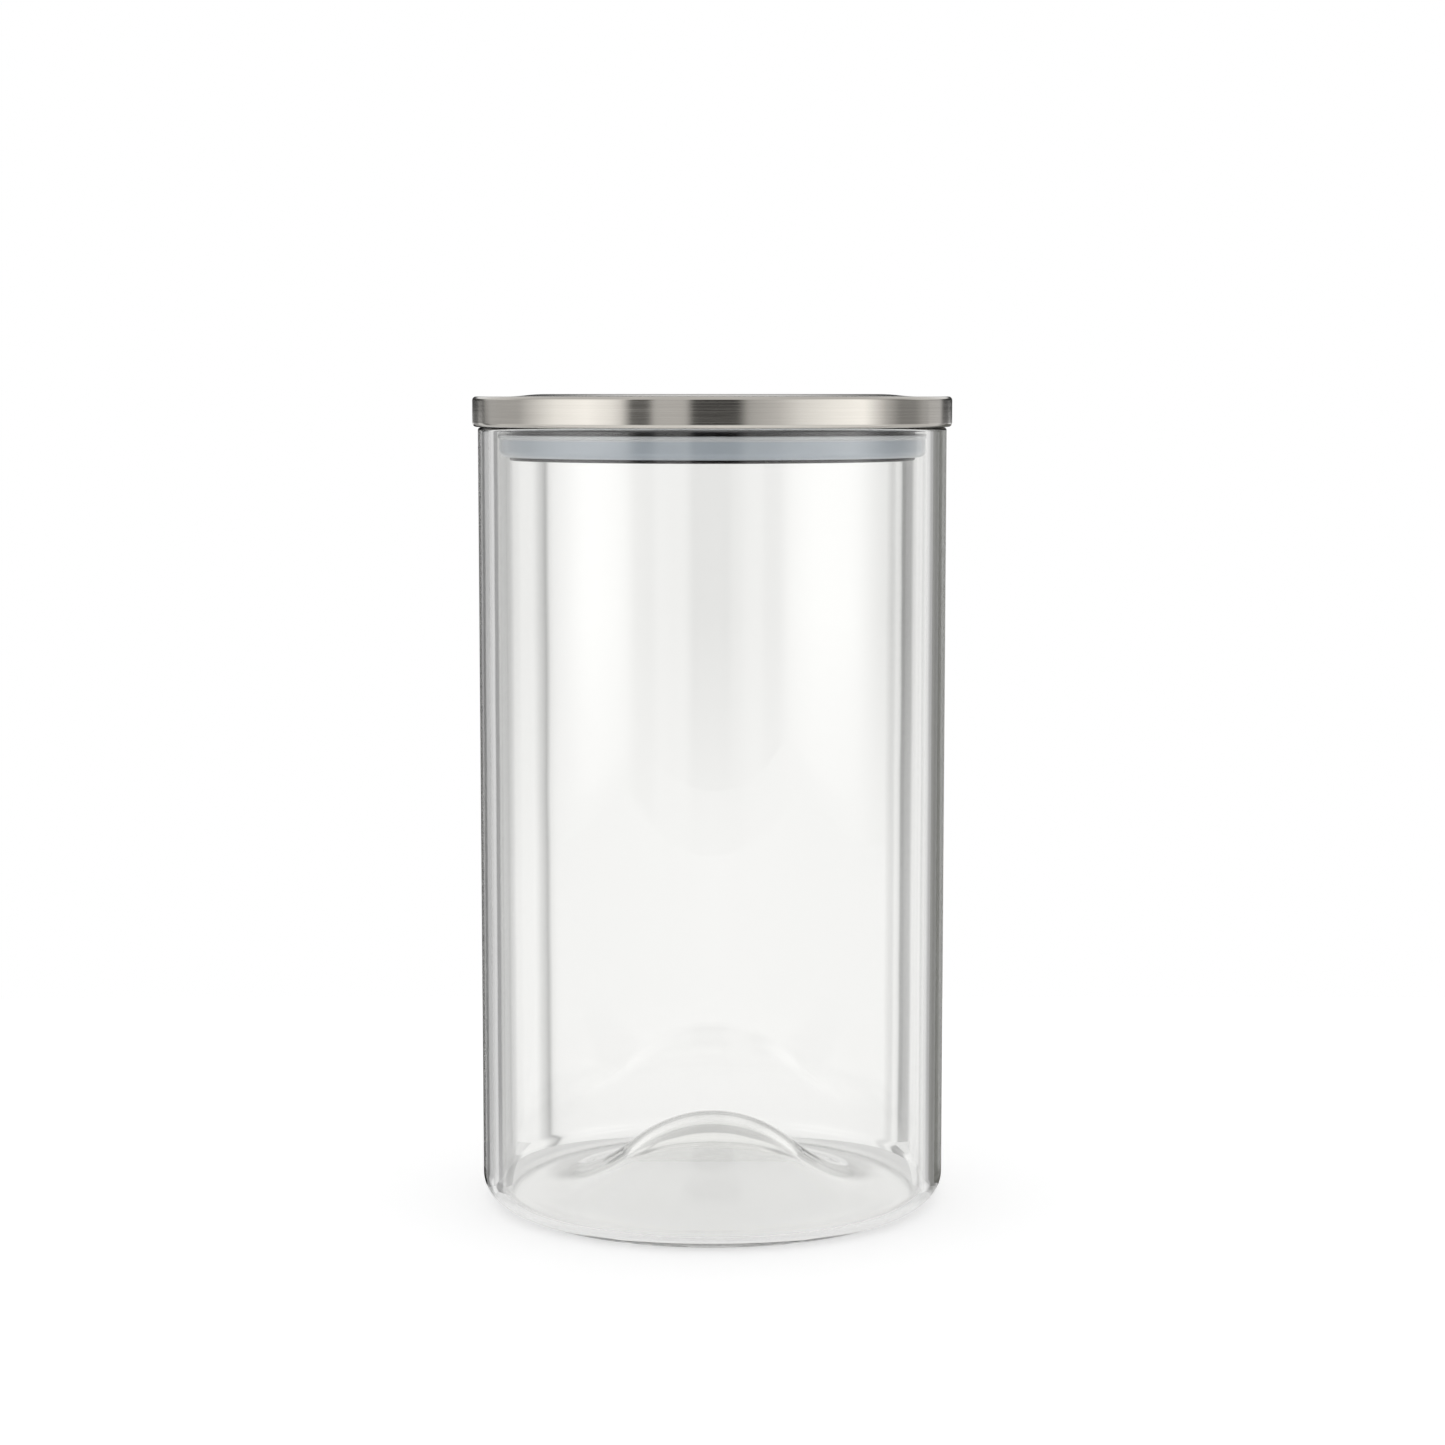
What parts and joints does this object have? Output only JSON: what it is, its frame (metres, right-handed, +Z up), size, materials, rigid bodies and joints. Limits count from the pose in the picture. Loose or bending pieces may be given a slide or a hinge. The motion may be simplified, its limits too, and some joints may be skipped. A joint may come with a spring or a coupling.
{
  "type": "lidded glass canister",
  "caption": "Straight round glass storage canister with a push-in lid: brushed steel cap, moulded plug and translucent silicone seal.",
  "frame": {"origin": "middle of the jar's underside, on the surface that it stands on", "axes": "+Z up along the jar's axis, out through the lid; X and Y are alike because the canister is round"},
  "size_m": [0.1023, 0.1022, 0.1742],
  "materials": {
    "jar_glass": "clear soda-lime glass, fire-polished",
    "cap_steel": "brushed stainless steel sheet",
    "plug_plastic": "moulded dark polypropylene, satin",
    "seal_silicone": "translucent blue-grey silicone"
  },
  "bodies": {
    "jar": {"glass_jar": "jar_glass"},
    "lid": {"lid_cap": "cap_steel", "lid_plug": "plug_plastic", "seal_ring": "seal_silicone"}
  },
  "joints": [
    {"name": "lid_lift", "type": "slide", "parent": "jar", "child": "lid", "axis": [0, 0, 1], "range_m": [0, 0.12]}
  ]
}
